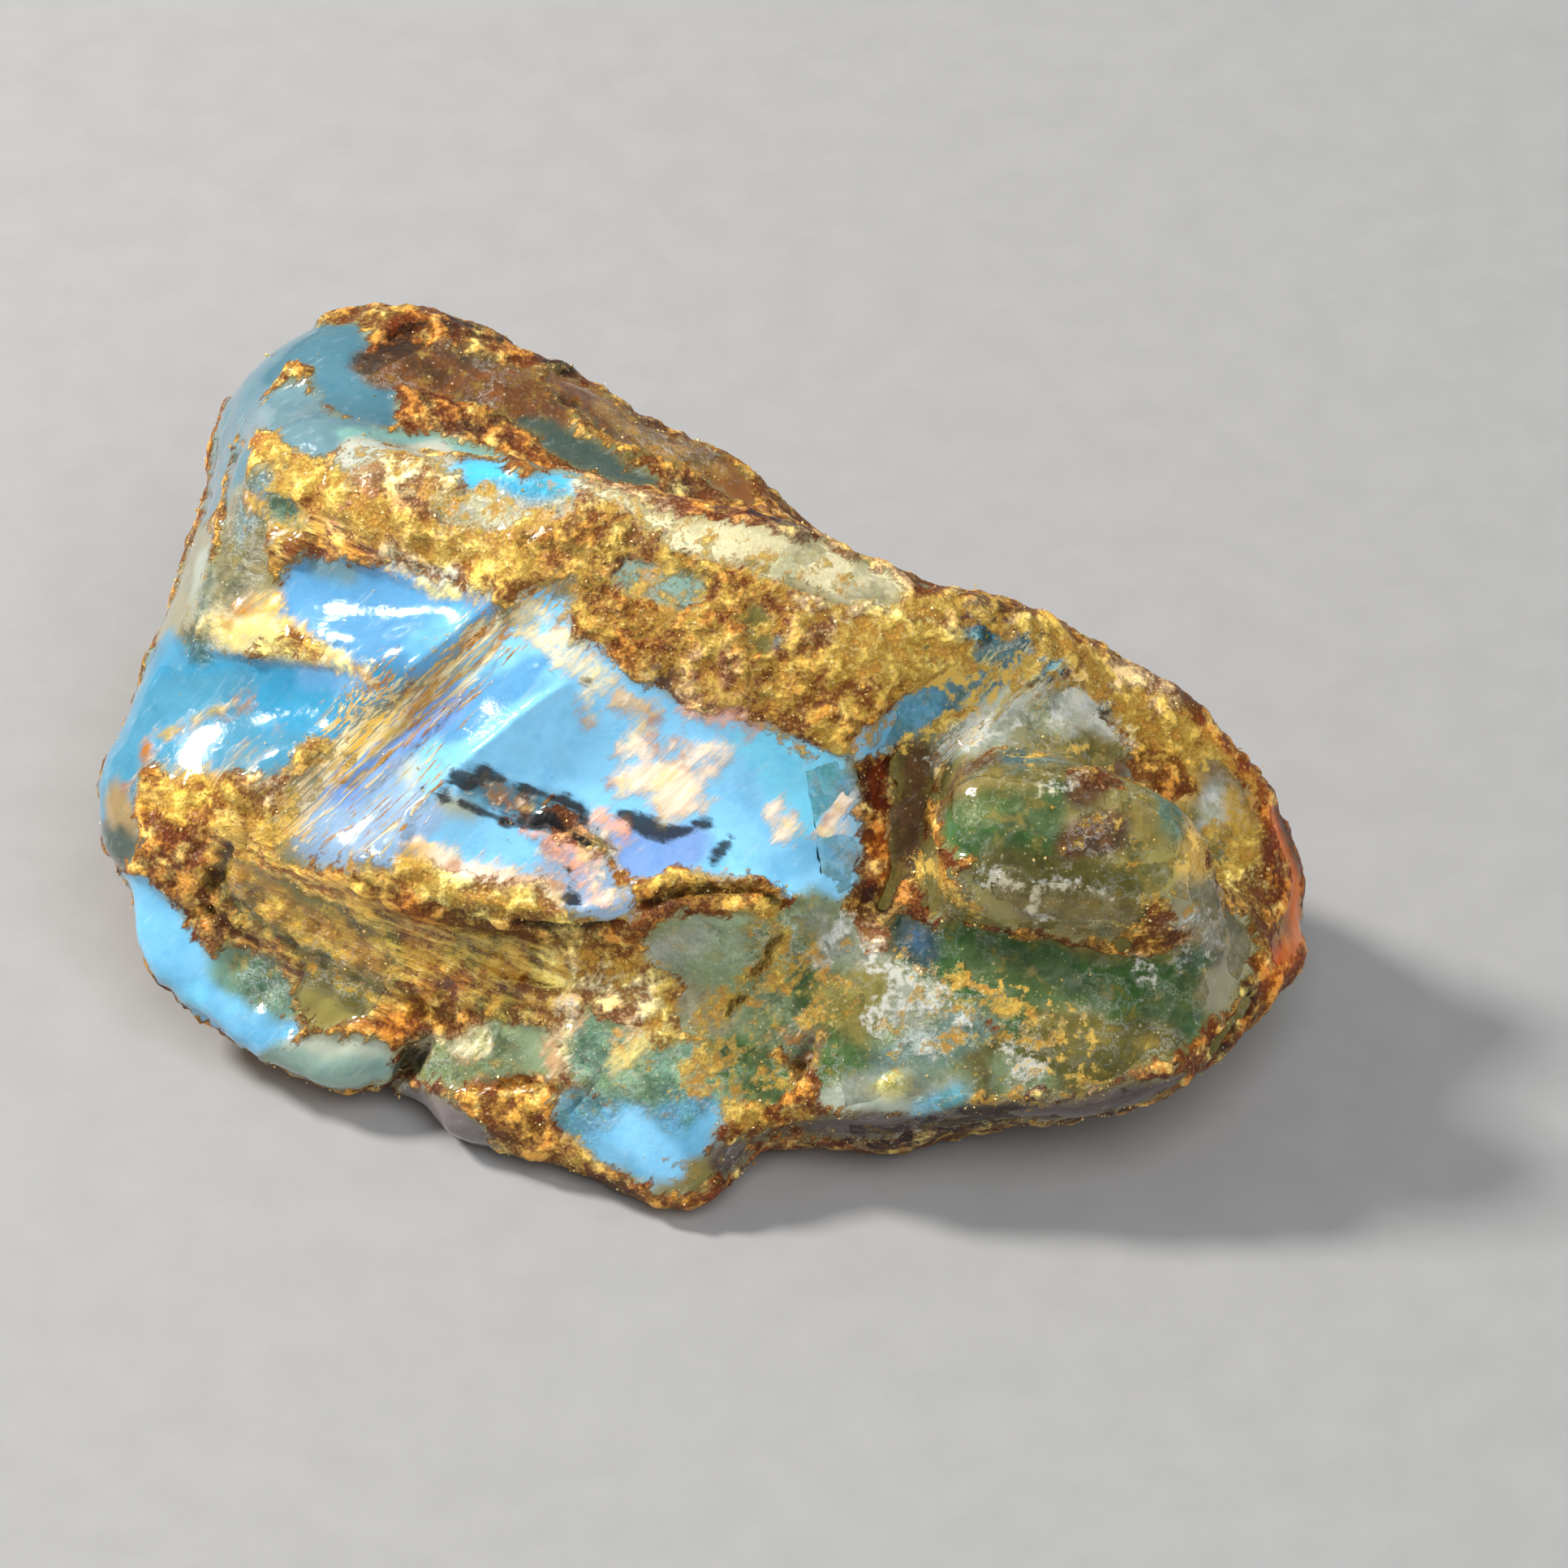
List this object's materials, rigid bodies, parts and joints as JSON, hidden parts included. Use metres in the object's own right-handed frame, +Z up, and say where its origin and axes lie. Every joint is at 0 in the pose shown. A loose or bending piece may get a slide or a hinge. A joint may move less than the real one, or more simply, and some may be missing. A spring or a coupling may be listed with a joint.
{
  "type": "rough amber specimen",
  "caption": "Palm-sized rough nugget of blue amber with blue and green windows, a golden weathered crust and a thin orange end, lying on a flat broken face.",
  "frame": {"origin": "on the surface that the nugget lies on, below the middle of its overall box", "axes": "+X along the nugget to its thin orange end, +Y towards the high crusted shoulder at the back, +Z up"},
  "size_m": [0.056, 0.039, 0.026],
  "materials": {
    "amber": "rough fossil resin: glossy sky-blue and green windows between golden-brown granular crust, see-through orange at the thin end"
  },
  "bodies": {
    "root": {"amber_nugget": "amber"}
  },
  "joints": []
}
